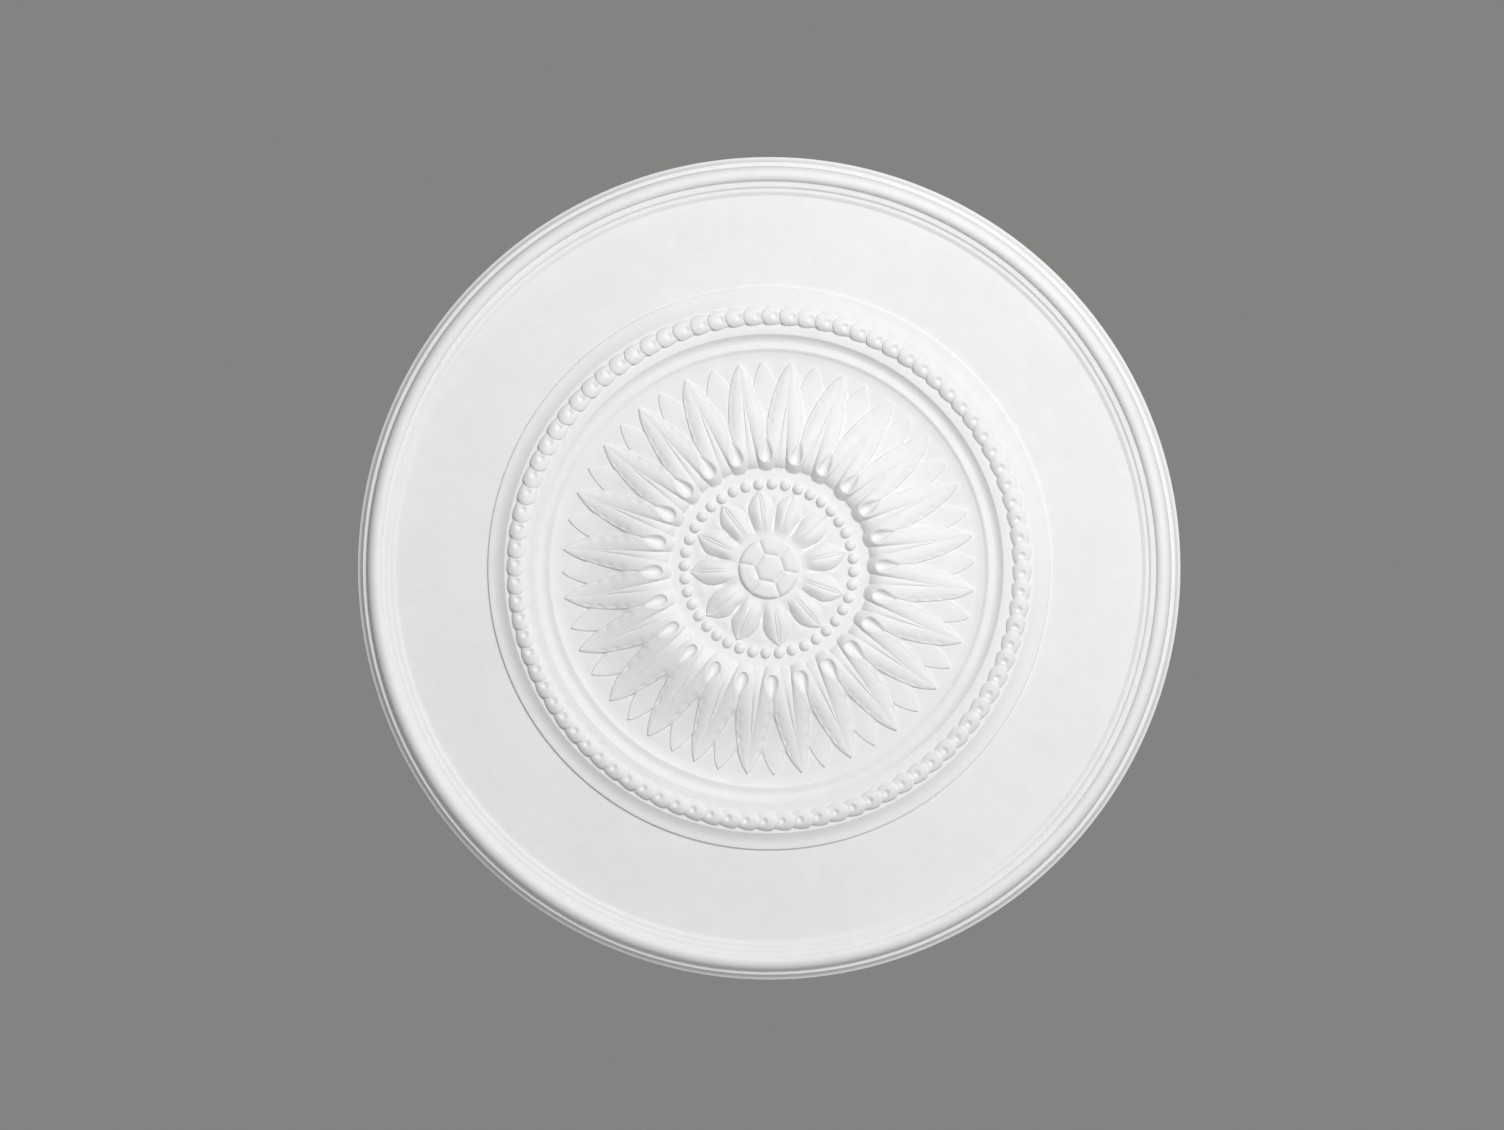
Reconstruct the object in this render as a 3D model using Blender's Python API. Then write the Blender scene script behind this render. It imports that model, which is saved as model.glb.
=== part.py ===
import math

import bmesh
import bpy

# A round ceiling rose cast in one piece. Lengths are in metres. The back lies in the plane
# y = 0 with its centre at the origin, the face looks along -Y, and heights are counted from
# the back towards the face. Angles run from +X towards +Z.

# Rim moulding, from the outer edge inward: edge, hollow, flat, round, flat, two small steps.
ROSE_RADIUS = 0.350
EDGE_HEIGHT = 0.0045
RIM_COVE_WIDTH = 0.0047
RIM_COVE_RISE = 0.0052
RIM_FLAT_WIDTH = 0.0032
ROUND_WIDTH = 0.0130
ROUND_RISE = 0.0064
RIM_LEDGE_WIDTH = 0.0046
LEDGE_STEP_WIDTH = 0.0016
LEDGE_STEP = 0.0021
TREAD_WIDTH = 0.0028
FIELD_STEP_WIDTH = 0.0030
FIELD_STEP = 0.0020

# Plain plate between the rim and the raised drum.
FIELD_HEIGHT = 0.0080

# Raised drum, from its foot inward: small step, tread, hollow and the flat beside the coins.
DRUM_STEP_WIDTH = 0.0011
DRUM_STEP = 0.0023
DRUM_TREAD_WIDTH = 0.0030
DRUM_COVE_WIDTH = 0.0094
DRUM_COVE_RISE = 0.0044
COURSE_FLAT_WIDTH = 0.0021

# Course of overlapping coins.
COIN_RADIUS = 0.0088
COIN_HEIGHT = 0.0052
COIN_PITCH = 0.01534
COIN_TURN = -0.25
COURSE_MARGIN = 0.0008
COURSE_SINK = 0.0008

# Inside of the drum: flat, hollow down into the dish, thin rib.
INNER_FLAT_WIDTH = 0.0047
INNER_COVE_WIDTH = 0.0089
INNER_COVE_DROP = 0.0050
RIB_WIDTH = 0.0046
RIB_RISE = 0.0009
RIB_FOOT_WIDTH = 0.0030

# Dish under the leaves.
DISH_HEIGHT = 0.0074
DISH_MARGIN = 0.0085

# Ring of leaves.
LEAF_COUNT = 24
LEAF_TURN = 98.9
LEAF_LENGTH = 0.0927
LEAF_NOSE_LENGTH = 0.0186
LEAF_CREST_HEIGHT = 0.0269
LEAF_TIP_THICKNESS = 0.0020
LEAF_HALF_WIDTH = 0.0153
LEAF_EDGE_DRAFT = 0.0009
LEAF_EDGE_SAG = 0.0012
SMALL_LEAF_DROP = 0.0024
STEM_DEPTH = 0.0052
EYE_START = 0.0079
EYE_LENGTH = 0.0202
EYE_HALF_WIDTH = 0.0046
EYE_DEPTH = 0.0050
JOINT_LENGTH = 0.0400
LEAF_GAP = 0.0005

# Flat hub inside the leaves, with its ring of pearls.
HUB_HEIGHT = 0.0169
HUB_MARGIN = 0.0060
PEARL_RADIUS = 0.0048
PEARL_HEIGHT = 0.0036
PEARL_PITCH = 0.01129
PEARL_TURN = 6.9

# Flower and boss.
PEARL_GAP = 0.0007
PETAL_LENGTH = 0.0355
PETAL_HALF_WIDTH = 0.0118
PETAL_RISE = 0.0066
PETAL_CREST_SHARE = 0.3
PETAL_TIP_RISE = 0.0018
PETAL_TIP_ANGLES = (11.7, 42.5, 71.5, 97.2, 126.7, 154.7, 182.7, 217.1, 245.8, 277.7, 311.4, 340.4)
MOAT_WIDTH = 0.0050
MOAT_RISE = 0.0038
BOSS_RADIUS = 0.0259
BOSS_RISE = 0.0098
BOSS_EDGE_RISE = 0.0070

# How finely the faceted solid is cut.
RIM_CUTS = 64
DRUM_CUTS = 88
RIB_CUTS = 72
BOSS_CUTS = 24


def blend(low, high, value):
    """Smooth 0 to 1 between two places."""
    share = min(max((value - low) / (high - low), 0.0), 1.0)
    return share * share * (3.0 - 2.0 * share)


def even_angles(count, turn=0.0):
    return [turn + 360.0 * i / count for i in range(count)]


def plain_ring(radius, height, count):
    return [(radius, angle, height) for angle in even_angles(count)]


def rim_profile():
    """Radius and height down the rim moulding, from the back edge to the plate."""
    ledge = FIELD_HEIGHT + FIELD_STEP + LEDGE_STEP
    flat = EDGE_HEIGHT + RIM_COVE_RISE
    profile = [(ROSE_RADIUS, 0.0), (ROSE_RADIUS, EDGE_HEIGHT)]
    radius = ROSE_RADIUS - RIM_COVE_WIDTH
    profile.append((radius + 0.45 * RIM_COVE_WIDTH, EDGE_HEIGHT + 0.32 * RIM_COVE_RISE))
    profile.append((radius, flat))
    radius -= RIM_FLAT_WIDTH
    profile.append((radius, flat))
    middle = radius - 0.5 * ROUND_WIDTH
    for share in (0.8, 0.0, -0.8):
        foot = flat if share > 0.0 else ledge
        base = 0.5 * (flat + ledge) if share == 0.0 else foot
        rise = ROUND_RISE * math.sqrt(1.0 - share * share)
        profile.append((middle + 0.5 * share * ROUND_WIDTH, base + rise))
    radius -= ROUND_WIDTH
    profile.append((radius, ledge))
    radius -= RIM_LEDGE_WIDTH
    profile.append((radius, ledge))
    radius -= LEDGE_STEP_WIDTH
    profile.append((radius, FIELD_HEIGHT + FIELD_STEP))
    radius -= TREAD_WIDTH
    profile.append((radius, FIELD_HEIGHT + FIELD_STEP))
    radius -= FIELD_STEP_WIDTH
    profile.append((radius, FIELD_HEIGHT))
    return profile


def leaf_half(along):
    """Half width of a leaf where along is 0 at the joint of two leaves and 1 at the tip."""
    along = min(max(along, 0.0), 1.0)
    return LEAF_HALF_WIDTH * (1.0 - along**1.1) ** 0.65


def eye_half(radius, start):
    share = (radius - start) / EYE_LENGTH
    if not 0.0 < share < 1.0:
        return 0.0
    return EYE_HALF_WIDTH * math.sqrt(share) * (1.0 - share) ** 1.2 / 0.357


def leaf_crest(radius, inner):
    """Height of the leaf ring along the highest line of a leaf."""
    nose = inner + LEAF_NOSE_LENGTH
    tip = inner + LEAF_LENGTH
    tip_height = DISH_HEIGHT + LEAF_TIP_THICKNESS
    if radius < nose:
        share = (radius - inner) / LEAF_NOSE_LENGTH
        return HUB_HEIGHT + (LEAF_CREST_HEIGHT - HUB_HEIGHT) * (1.0 - (1.0 - share) ** 4.5)
    share = min((radius - nose) / (tip - nose), 1.0)
    fall = 0.5 * (1.0 + math.cos(math.pi * share**0.8))
    return tip_height + (LEAF_CREST_HEIGHT - tip_height) * fall


def leaf_ring(radius, inner):
    """One ring of the leaves: stem, edge, draft and the line of the eyes, leaf after leaf."""
    joint = inner + JOINT_LENGTH
    tip = inner + LEAF_LENGTH
    half_pitch = math.pi * radius / LEAF_COUNT
    along = (radius - joint) / (tip - joint)
    crest = leaf_crest(radius, inner)
    eye = eye_half(radius, inner + EYE_START)
    edge = half_pitch - LEAF_GAP - eye if radius < joint else min(leaf_half(along), half_pitch - LEAF_GAP)
    edge = max(edge - LEAF_EDGE_DRAFT, 0.15 * half_pitch)
    reach = (radius - inner) / (joint - inner)
    depth = min(STEM_DEPTH * max(1.0 - 0.62 * reach, 0.0) ** 1.7, max(crest - HUB_HEIGHT, 0.0))
    stem_height = crest - depth
    edge_height = crest - LEAF_EDGE_SAG * blend(0.5, 1.2, reach)
    if radius < joint:
        foot_height = crest - EYE_DEPTH * min(eye / (0.5 * EYE_HALF_WIDTH), 1.0)
        middle_height = foot_height
    else:
        middle_height = crest - SMALL_LEAF_DROP * (1.0 - max(along, 0.0))
        bare = leaf_half(along) < 0.5 * half_pitch
        foot_height = DISH_HEIGHT if bare else middle_height
    if radius >= tip:
        stem_height = edge_height = foot_height = middle_height = DISH_HEIGHT
    if radius <= inner:
        stem_height = edge_height = foot_height = middle_height = HUB_HEIGHT
    points = []
    turn = math.degrees(1.0 / radius)
    for axis in even_angles(LEAF_COUNT, LEAF_TURN):
        points.append((radius, axis, stem_height))
        points.append((radius, axis + turn * edge, edge_height))
        points.append((radius, axis + turn * (edge + LEAF_EDGE_DRAFT), foot_height))
        points.append((radius, axis + turn * half_pitch, middle_height))
        points.append((radius, axis + turn * (2.0 * half_pitch - edge - LEAF_EDGE_DRAFT), foot_height))
        points.append((radius, axis + turn * (2.0 * half_pitch - edge), edge_height))
    return points


def coin_ring(offset, centre, floor):
    """One ring of the coin course at an offset from its centre line."""
    count = max(round(2.0 * math.pi * centre / COIN_PITCH), 3)
    radius = centre + offset
    across = math.sqrt(max(1.0 - (offset / COIN_RADIUS) ** 2, 0.0))
    pitch = 2.0 * math.pi * radius / count
    reach = min(max(COIN_RADIUS * across, 0.3 * COIN_RADIUS), 0.8 * pitch)
    step = 0.04 * COIN_RADIUS
    points = []
    turn = math.degrees(1.0 / radius)
    for axis in even_angles(count, COIN_TURN):
        start = turn * (reach + step - pitch)
        points.append((radius, axis + start, floor + 0.70 * COIN_HEIGHT * across * across))
        points.append((radius, axis + 0.5 * (start + turn * reach), floor + COIN_HEIGHT * across))
        points.append((radius, axis + turn * reach, floor + 0.90 * COIN_HEIGHT * across))
    return points


def pearl_ring(radius, height):
    """One ring through the pearls: foot, two crown points and foot of each."""
    count = max(round(2.0 * math.pi * pearl_centre() / PEARL_PITCH), 3)
    points = []
    turn = math.degrees(1.0 / pearl_centre())
    for axis in even_angles(count, PEARL_TURN):
        for share, top in ((-1.0, 0.0), (-0.45, height), (0.45, height), (1.0, 0.0)):
            points.append((radius, axis + turn * share * PEARL_RADIUS, HUB_HEIGHT + top))
    return points


def petal_base():
    return BOSS_RADIUS + MOAT_WIDTH


def pearl_centre():
    return petal_base() + PETAL_LENGTH + PEARL_GAP + PEARL_RADIUS


def petal_rise(share):
    """Height of a petal's ridge above the hub, from the moat at 0 to the tip at 1."""
    if share < PETAL_CREST_SHARE:
        climb = 1.0 - (1.0 - share / PETAL_CREST_SHARE) ** 1.35
        return MOAT_RISE + (PETAL_RISE - MOAT_RISE) * climb
    turn = math.pi * ((share - PETAL_CREST_SHARE) / (1.08 - PETAL_CREST_SHARE)) ** 1.15
    return PETAL_TIP_RISE + (PETAL_RISE - PETAL_TIP_RISE) * (0.5 + 0.5 * math.cos(turn))


def petal_ring(share):
    """One ring of the flower: ridge, edge, gap and edge of each petal."""
    radius = petal_base() + share * PETAL_LENGTH
    base = HUB_HEIGHT + MOAT_RISE * (1.0 - blend(0.0, 0.5, share))
    lift = HUB_HEIGHT + petal_rise(share) - base
    width = PETAL_HALF_WIDTH * math.sin(math.pi * min(0.16 + 0.52 * share, 1.0)) * (1.0 - share**6)
    points = []
    turn = math.degrees(1.0 / radius)
    last = len(PETAL_TIP_ANGLES) - 1
    for i, axis in enumerate(PETAL_TIP_ANGLES):
        after = PETAL_TIP_ANGLES[i + 1] if i < last else PETAL_TIP_ANGLES[0] + 360.0
        half_gap = 0.5 * (after - axis)
        edge = min(turn * width, 0.85 * half_gap)
        top = base if share >= 1.0 else base + lift
        side = base if share >= 1.0 else base + 0.55 * lift
        points.append((radius, axis, top))
        points.append((radius, axis + edge, side))
        points.append((radius, axis + half_gap, base))
        points.append((radius, after - edge, side))
    return points


def face_zones():
    """Rings of the face from the back edge of the rim to the boss, in zones of equal cuts."""
    leaf_inner = pearl_centre() + PEARL_RADIUS + HUB_MARGIN
    rib_foot = leaf_inner + LEAF_LENGTH + DISH_MARGIN
    rib_crest = rib_foot + RIB_FOOT_WIDTH
    cove_low = rib_crest + RIB_WIDTH
    cove_top = cove_low + INNER_COVE_WIDTH
    course_inner = cove_top + INNER_FLAT_WIDTH
    coin_centre = course_inner + COURSE_MARGIN + COIN_RADIUS
    course_outer = coin_centre + COIN_RADIUS + COURSE_MARGIN
    drum_cove_top = course_outer + COURSE_FLAT_WIDTH
    drum_cove_low = drum_cove_top + DRUM_COVE_WIDTH
    drum_top = drum_cove_low + DRUM_TREAD_WIDTH
    tread = FIELD_HEIGHT + DRUM_STEP
    course = tread + DRUM_COVE_RISE
    cove_bottom = course - INNER_COVE_DROP
    drum = (
        (drum_top + DRUM_STEP_WIDTH, FIELD_HEIGHT),
        (drum_top, tread),
        (drum_cove_low, tread),
        (drum_cove_top + 0.4 * DRUM_COVE_WIDTH, tread + 0.36 * DRUM_COVE_RISE),
        (drum_cove_top, course),
        (course_outer, course),
    )
    rib = (
        (course_inner, course),
        (cove_top, course),
        (cove_low + 0.55 * INNER_COVE_WIDTH, cove_bottom + 0.24 * INNER_COVE_DROP),
        (cove_low, cove_bottom),
        (rib_crest, cove_bottom + RIB_RISE),
        (rib_foot, DISH_HEIGHT),
    )
    boss_edge = HUB_HEIGHT + BOSS_EDGE_RISE
    crown = BOSS_RISE - BOSS_EDGE_RISE
    boss = [(BOSS_RADIUS, HUB_HEIGHT + MOAT_RISE), (0.955 * BOSS_RADIUS, boss_edge)]
    boss.extend((share * BOSS_RADIUS, boss_edge + crown * (1.0 - share * share)) for share in (0.72, 0.38))
    coin_stops = (1.0, 0.62, -0.62, -1.0)
    leaf_stops = (1.0, 0.88, 0.74, 0.58, 0.43, 0.31, 0.20, 0.08, 0.03, 0.0)
    pearl_stops = ((1.0, 0.0), (0.0, PEARL_HEIGHT), (-1.0, 0.0))
    petal_stops = (1.0, 0.84, 0.56, 0.28, 0.0)
    return (
        [plain_ring(radius, height, RIM_CUTS) for radius, height in rim_profile()],
        [plain_ring(radius, height, DRUM_CUTS) for radius, height in drum],
        [coin_ring(stop * COIN_RADIUS, coin_centre, course - COURSE_SINK) for stop in coin_stops],
        [plain_ring(radius, height, RIB_CUTS) for radius, height in rib],
        [leaf_ring(leaf_inner + stop * LEAF_LENGTH, leaf_inner) for stop in leaf_stops],
        [pearl_ring(pearl_centre() + stop * PEARL_RADIUS, height) for stop, height in pearl_stops],
        [petal_ring(stop) for stop in petal_stops],
        [plain_ring(radius, height, BOSS_CUTS) for radius, height in boss],
    )


def place_ring(mesh, ring):
    """Vertices of a ring, each with its angle in degrees."""
    placed = []
    for radius, angle, height in ring:
        turn = math.radians(angle)
        place = (radius * math.cos(turn), -height, radius * math.sin(turn))
        placed.append((angle, mesh.verts.new(place)))
    return placed


def loft(mesh, outer, inner):
    """Four-sided faces between two rings of one zone, vertex to vertex."""
    count = len(outer)
    for i in range(count):
        j = (i + 1) % count
        mesh.faces.new((outer[i][1], outer[j][1], inner[j][1], inner[i][1]))


def stitch(mesh, outer, inner):
    """Triangles between the neighbouring rings of two zones, whose cuts differ."""
    start = outer[0][0]
    outer = [(angle - start, vert) for angle, vert in outer]
    inner = sorted((((angle - start) % 360.0, vert) for angle, vert in inner), key=lambda pair: pair[0])
    outer.append((360.0, outer[0][1]))
    inner.append((360.0 + inner[0][0], inner[0][1]))
    i = j = 0
    while i < len(outer) - 1 or j < len(inner) - 1:
        outer_left = i < len(outer) - 1
        inner_left = j < len(inner) - 1
        if outer_left and (not inner_left or outer[i + 1][0] <= inner[j + 1][0]):
            mesh.faces.new((outer[i][1], outer[i + 1][1], inner[j][1]))
            i += 1
        else:
            mesh.faces.new((outer[i][1], inner[j + 1][1], inner[j][1]))
            j += 1


def build_rose():
    mesh = bmesh.new()
    zones = [[place_ring(mesh, ring) for ring in zone] for zone in face_zones()]
    for zone in zones:
        for outer, inner in zip(zone, zone[1:]):
            loft(mesh, outer, inner)
    for outer_zone, inner_zone in zip(zones, zones[1:]):
        stitch(mesh, outer_zone[-1], inner_zone[0])
    crown = mesh.verts.new((0.0, -(HUB_HEIGHT + BOSS_RISE), 0.0))
    last = [vert for _, vert in zones[-1][-1]]
    for i, vert in enumerate(last):
        mesh.faces.new((vert, last[(i + 1) % len(last)], crown))
    mesh.faces.new([vert for _, vert in zones[0][0]])
    bmesh.ops.connect_verts_nonplanar(mesh, angle_limit=math.radians(0.01), faces=mesh.faces)
    bmesh.ops.recalc_face_normals(mesh, faces=mesh.faces)
    data = bpy.data.meshes.new("ceiling_rose")
    mesh.to_mesh(data)
    mesh.free()
    return data


def plaster_material():
    material = bpy.data.materials.new("plaster")
    material.use_nodes = True
    shader = material.node_tree.nodes["Principled BSDF"]
    shader.inputs["Base Color"].default_value = (0.86, 0.855, 0.84, 1.0)
    shader.inputs["Roughness"].default_value = 0.62
    shader.inputs["Metallic"].default_value = 0.0
    return material


for old in list(bpy.data.objects):
    bpy.data.objects.remove(old, do_unlink=True)

rose = bpy.data.objects.new("ceiling_rose", build_rose())
rose.data.materials.append(plaster_material())
bpy.context.scene.collection.objects.link(rose)
rose.data.shade_smooth()
rose.data.set_sharp_from_angle(angle=math.radians(30.0))
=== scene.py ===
import math

import bpy
import numpy as np
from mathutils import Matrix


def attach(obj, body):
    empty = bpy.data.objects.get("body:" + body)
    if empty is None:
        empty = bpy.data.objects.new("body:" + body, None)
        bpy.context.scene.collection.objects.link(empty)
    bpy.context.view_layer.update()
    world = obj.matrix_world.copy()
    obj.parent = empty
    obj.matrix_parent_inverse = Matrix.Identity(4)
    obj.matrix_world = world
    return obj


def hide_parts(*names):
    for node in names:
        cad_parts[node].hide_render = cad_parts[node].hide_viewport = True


# A white plaster ceiling rose, face along -Y, back at y = 0. Sizes are in millimetres and are
# turned into metres when the mesh is made. Angles are in degrees from +X towards +Z.

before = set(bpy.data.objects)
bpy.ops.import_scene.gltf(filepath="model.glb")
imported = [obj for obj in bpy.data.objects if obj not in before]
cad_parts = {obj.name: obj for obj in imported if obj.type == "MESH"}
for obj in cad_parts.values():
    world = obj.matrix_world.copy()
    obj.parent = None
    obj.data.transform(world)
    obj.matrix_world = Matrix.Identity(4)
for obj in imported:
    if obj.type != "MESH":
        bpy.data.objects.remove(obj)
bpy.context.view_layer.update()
print("frame loaded")

rim = {
    "radius": 350.0, "edgeHeight": 4.5, "coveWidth": 4.7, "coveRise": 5.2, "flatWidth": 3.2,
    "roundWidth": 13.0, "roundRise": 6.4, "ledgeWidth": 4.6, "ledgeStepWidth": 1.6, "ledgeStep": 2.1,
    "treadWidth": 2.8, "fieldStepWidth": 3.0, "fieldStep": 2.0, "fieldHeight": 8.0,
    "softness": 0.35, "columns": 180,
}
drum = {
    "stepWidth": 0.6, "step": 2.3, "treadWidth": 3.0, "coveWidth": 10.8, "coveRise": 4.4, "flatWidth": 0.7,
    "innerFlat": 6.1, "innerCoveWidth": 7.5, "innerCoveDrop": 5.0, "ribWidth": 4.6, "ribRise": 0.9,
    "ribFoot": 3.0, "dishHeight": 7.4, "dishMargin": 8.5, "dishLip": 1.2, "softness": 0.35, "columns": 180,
}
coins = {
    "radius": 8.8, "height": 5.2, "pitch": 15.34, "turn": -0.15, "margin": 0.8, "edgeGap": 0.4,
    "freeReach": 8.0, "notchDepth": 2.4, "notchShare": 0.59, "coverDrop": 0.27, "riseReach": 9.5,
    "fullness": 0.66, "corner": 0.14, "cornerStart": 3.4, "cornerWidth": 2.2, "stepWidth": 1.3,
    "pitPlace": 3.75, "pitRadius": 3.1, "pitDepth": 2.1, "uneven": 0.25, "sizeUneven": 0.04,
}
leaves = {
    "count": 24, "turn": 98.9, "length": 92.7, "noseLength": 18.6, "crestHeight": 26.35,
    "tipThickness": 2.0, "halfWidth": 15.3, "edgeDraft": 0.9, "edgeSag": 1.3, "cushion": 0.7,
    "smallDrop": 2.4, "stemWidth": 4.5, "stemLength": 68.0, "stemDepth": 4.4, "stemGroove": 0.45,
    "stemRise": 0.7, "flankWidth": 3.6, "eyeStart": 7.9, "eyeLength": 20.2, "eyeHalf": 3.8, "eyeDepth": 4.2,
    "lipRise": 0.5, "slitDepth": 1.5, "jointLength": 40.0, "gap": 0.5, "noseRound": 3.2,
    "dentStart": 42.64, "dentPitch": 10.8, "dentDepth": 1.9, "sway": 0.8,
}
hub = {
    "height": 16.9, "margin": 6.0, "pearlRadius": 4.8, "pearlHeight": 4.1, "pearlPitch": 11.29,
    "pearlTurn": 6.9, "pearlUneven": 0.25,
}
flower = {
    "gap": 0.7, "length": 35.5, "halfWidth": 11.8, "rise": 8.2, "moatWidth": 5.0, "moatRise": 4.6,
    "tipAngles": (11.7, 42.5, 71.5, 97.2, 126.7, 154.7, 182.7, 217.1, 245.8, 277.7, 311.4, 340.4),
    "crestPlace": 0.27, "tipThickness": 1.5, "foldDepth": 1.0, "ribRise": 0.75, "sepalRise": 1.3, "edgeDraft": 1.0,
}
boss = {
    "radius": 25.9, "rise": 9.9, "edgeRise": 8.1, "rounding": 0.11, "hexRadius": 13.0, "hexTurn": -10.0,
    "grooveDepth": 1.3, "grooveWidth": 0.95, "pillow": 0.8, "panelRadius": 24.0, "columns": 144,
}


def smooth(low, high, value):
    # 3s^2 - 2s^3, where s is how far value is from low to high, kept from 0 to 1
    share = np.clip((value - low) / (high - low), 0.0, 1.0)
    return share * share * (3.0 - 2.0 * share)


def bump(distance, width):
    # bell curve exp(-(distance / width)^2)
    return np.exp(-(distance / width) ** 2)


def roundCorners(points, softness):
    # each corner of the profile that turns by more than 20 degrees becomes three points on a curve that
    # starts softness away from it, and a flatter one stays as it is
    points = np.asarray(points, float)
    corners = points[1:-1]
    before, after = points[:-2] - corners, points[2:] - corners
    beforeLength = np.hypot(before[:, 0], before[:, 1])
    afterLength = np.hypot(after[:, 0], after[:, 1])
    reach = np.minimum(softness, 0.4 * np.minimum(beforeLength, afterLength))[:, None]
    first = corners + before / beforeLength[:, None] * reach
    last = corners + after / afterLength[:, None] * reach
    middle = 0.25 * first + 0.5 * corners + 0.25 * last
    straight = -(before * after).sum(axis=1) / (beforeLength * afterLength)
    sharp = straight < math.cos(math.radians(20.0))
    curves = np.stack([first, np.where(sharp[:, None], middle, corners), last], axis=1)
    kept = np.column_stack([sharp, np.full(len(sharp), True), sharp])
    return np.vstack([points[:1], curves[kept], points[-1:]])


def ringZone(profile, columns):
    # a profile of radius and height carried round the axis
    angle = np.arange(columns) * 360.0 / columns
    radius, angles = np.meshgrid(profile[:, 0], angle, indexing="ij")
    height = np.repeat(profile[:, 1][:, None], columns, axis=1)
    return gridZone(radius, angles, height)


def gridZone(radius, angle, height):
    # four-sided faces between rows that close round the axis, the outermost row first
    rows, columns = angle.shape
    index = np.arange(rows * columns).reshape(rows, columns)
    a, b = index[:-1], index[1:]
    quads = np.stack([a, np.roll(a, -1, axis=1), np.roll(b, -1, axis=1), b], axis=-1).reshape(-1, 4)
    return {
        "radius": radius.reshape(-1), "angle": angle.reshape(-1), "height": height.reshape(-1),
        "quads": quads, "outer": index[0], "inner": index[-1]}


def repeated(zoneAngle, count, turn):
    # the angles of one pitch, repeated count times round the axis
    starts = turn + np.arange(count) * 360.0 / count
    return (starts[None, :, None] + zoneAngle[:, None, :]).reshape(zoneAngle.shape[0], -1)


def unevenness(count, seed):
    # a fixed random number from -1 to 1 for each copy
    return np.random.default_rng(seed).uniform(-1.0, 1.0, count)


# places that follow from the sizes, from the middle outwards
petalBase = boss["radius"] + flower["moatWidth"]
pearlCentre = petalBase + flower["length"] + flower["gap"] + hub["pearlRadius"]
leafInner = pearlCentre + hub["pearlRadius"] + hub["margin"]
leafTip = leafInner + leaves["length"]
ribFoot = leafTip + drum["dishMargin"]
ribCrest = ribFoot + drum["ribFoot"]
innerCoveLow = ribCrest + drum["ribWidth"]
innerCoveTop = innerCoveLow + drum["innerCoveWidth"]
courseInner = innerCoveTop + drum["innerFlat"]
coinCentre = courseInner + coins["margin"] + coins["radius"]
courseOuter = coinCentre + coins["radius"] + coins["margin"]
drumCoveTop = courseOuter + drum["flatWidth"]
drumCoveLow = drumCoveTop + drum["coveWidth"]
drumTop = drumCoveLow + drum["treadWidth"]
drumFoot = drumTop + drum["stepWidth"]
tread = rim["fieldHeight"] + drum["step"]
course = tread + drum["coveRise"]
coveBottom = course - drum["innerCoveDrop"]


def rimProfile():
    # outer edge, hollow rising as t^1.8, flat, half round, ledge and two steps down to the plate
    ledge = rim["fieldHeight"] + rim["fieldStep"] + rim["ledgeStep"]
    middleStep = rim["fieldHeight"] + rim["fieldStep"]
    flat = rim["edgeHeight"] + rim["coveRise"]
    t = np.linspace(0.0, 1.0, 5)
    cove = np.column_stack([
        rim["radius"] - rim["coveWidth"] * t, rim["edgeHeight"] + rim["coveRise"] * t ** 1.8])
    outer = rim["radius"] - rim["coveWidth"] - rim["flatWidth"]
    turn = np.radians(np.linspace(8.0, 172.0, 11))
    base = flat + (ledge - flat) * (0.5 - 0.5 * np.cos(turn))
    half = np.column_stack([
        outer - 0.5 * rim["roundWidth"] * (1.0 - np.cos(turn)),
        base + rim["roundRise"] * np.sin(turn)])
    inner = outer - rim["roundWidth"]
    ledgeEnd = inner - rim["ledgeWidth"]
    treadStart = ledgeEnd - rim["ledgeStepWidth"]
    treadEnd = treadStart - rim["treadWidth"]
    field = treadEnd - rim["fieldStepWidth"]
    steps = [
        (inner, ledge), (ledgeEnd, ledge), (treadStart, middleStep), (treadEnd, middleStep),
        (field, rim["fieldHeight"]), (field - 3.0, rim["fieldHeight"])]
    edge = [(rim["radius"], 0.0), (rim["radius"], 0.5 * rim["edgeHeight"])]
    soft = roundCorners(np.vstack([edge, cove[:1], cove[2:3]]), rim["softness"])[1:-1]
    corner = roundCorners(np.vstack([cove[3:], [(outer, flat)], half[:1]]), rim["softness"])[1:-1]
    lower = roundCorners(np.vstack([half[-1:], steps]), rim["softness"])[1:]
    return np.vstack([edge[:1], soft, cove[1:4], corner, half, lower])


def drumProfile():
    # step, tread, hollow rising as t^1.9 and the flat outside the coins
    t = np.linspace(0.0, 1.0, 6)
    cove = np.column_stack([drumCoveLow - drum["coveWidth"] * t, tread + drum["coveRise"] * t ** 1.9])
    start = [(drumFoot + 3.0, rim["fieldHeight"]), (drumFoot, rim["fieldHeight"]), (drumTop, tread)]
    end = [(courseOuter, course)]
    return roundCorners(np.vstack([start, cove, end]), drum["softness"])


def innerProfile():
    # flat inside the coins, hollow falling steeply and flattening, thin rib and the dish
    t = np.linspace(0.0, 1.0, 7)
    cove = np.column_stack([
        innerCoveTop - drum["innerCoveWidth"] * t,
        coveBottom + drum["innerCoveDrop"] * (1.0 - t) ** 2.1])
    s = np.linspace(0.0, 1.0, 5)
    dish = np.column_stack([
        ribFoot - (ribFoot - leafTip - 0.6) * s,
        drum["dishHeight"] + drum["dishLip"] * (1.0 - s) ** 2])
    rib = [(ribCrest + 1.2, coveBottom + 0.75 * drum["ribRise"]), (ribCrest, coveBottom + drum["ribRise"]),
           (ribCrest - 0.8, coveBottom + 0.7 * drum["ribRise"])]
    return roundCorners(np.vstack([[(courseInner, course)], cove, rib, dish]), drum["softness"])


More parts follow.
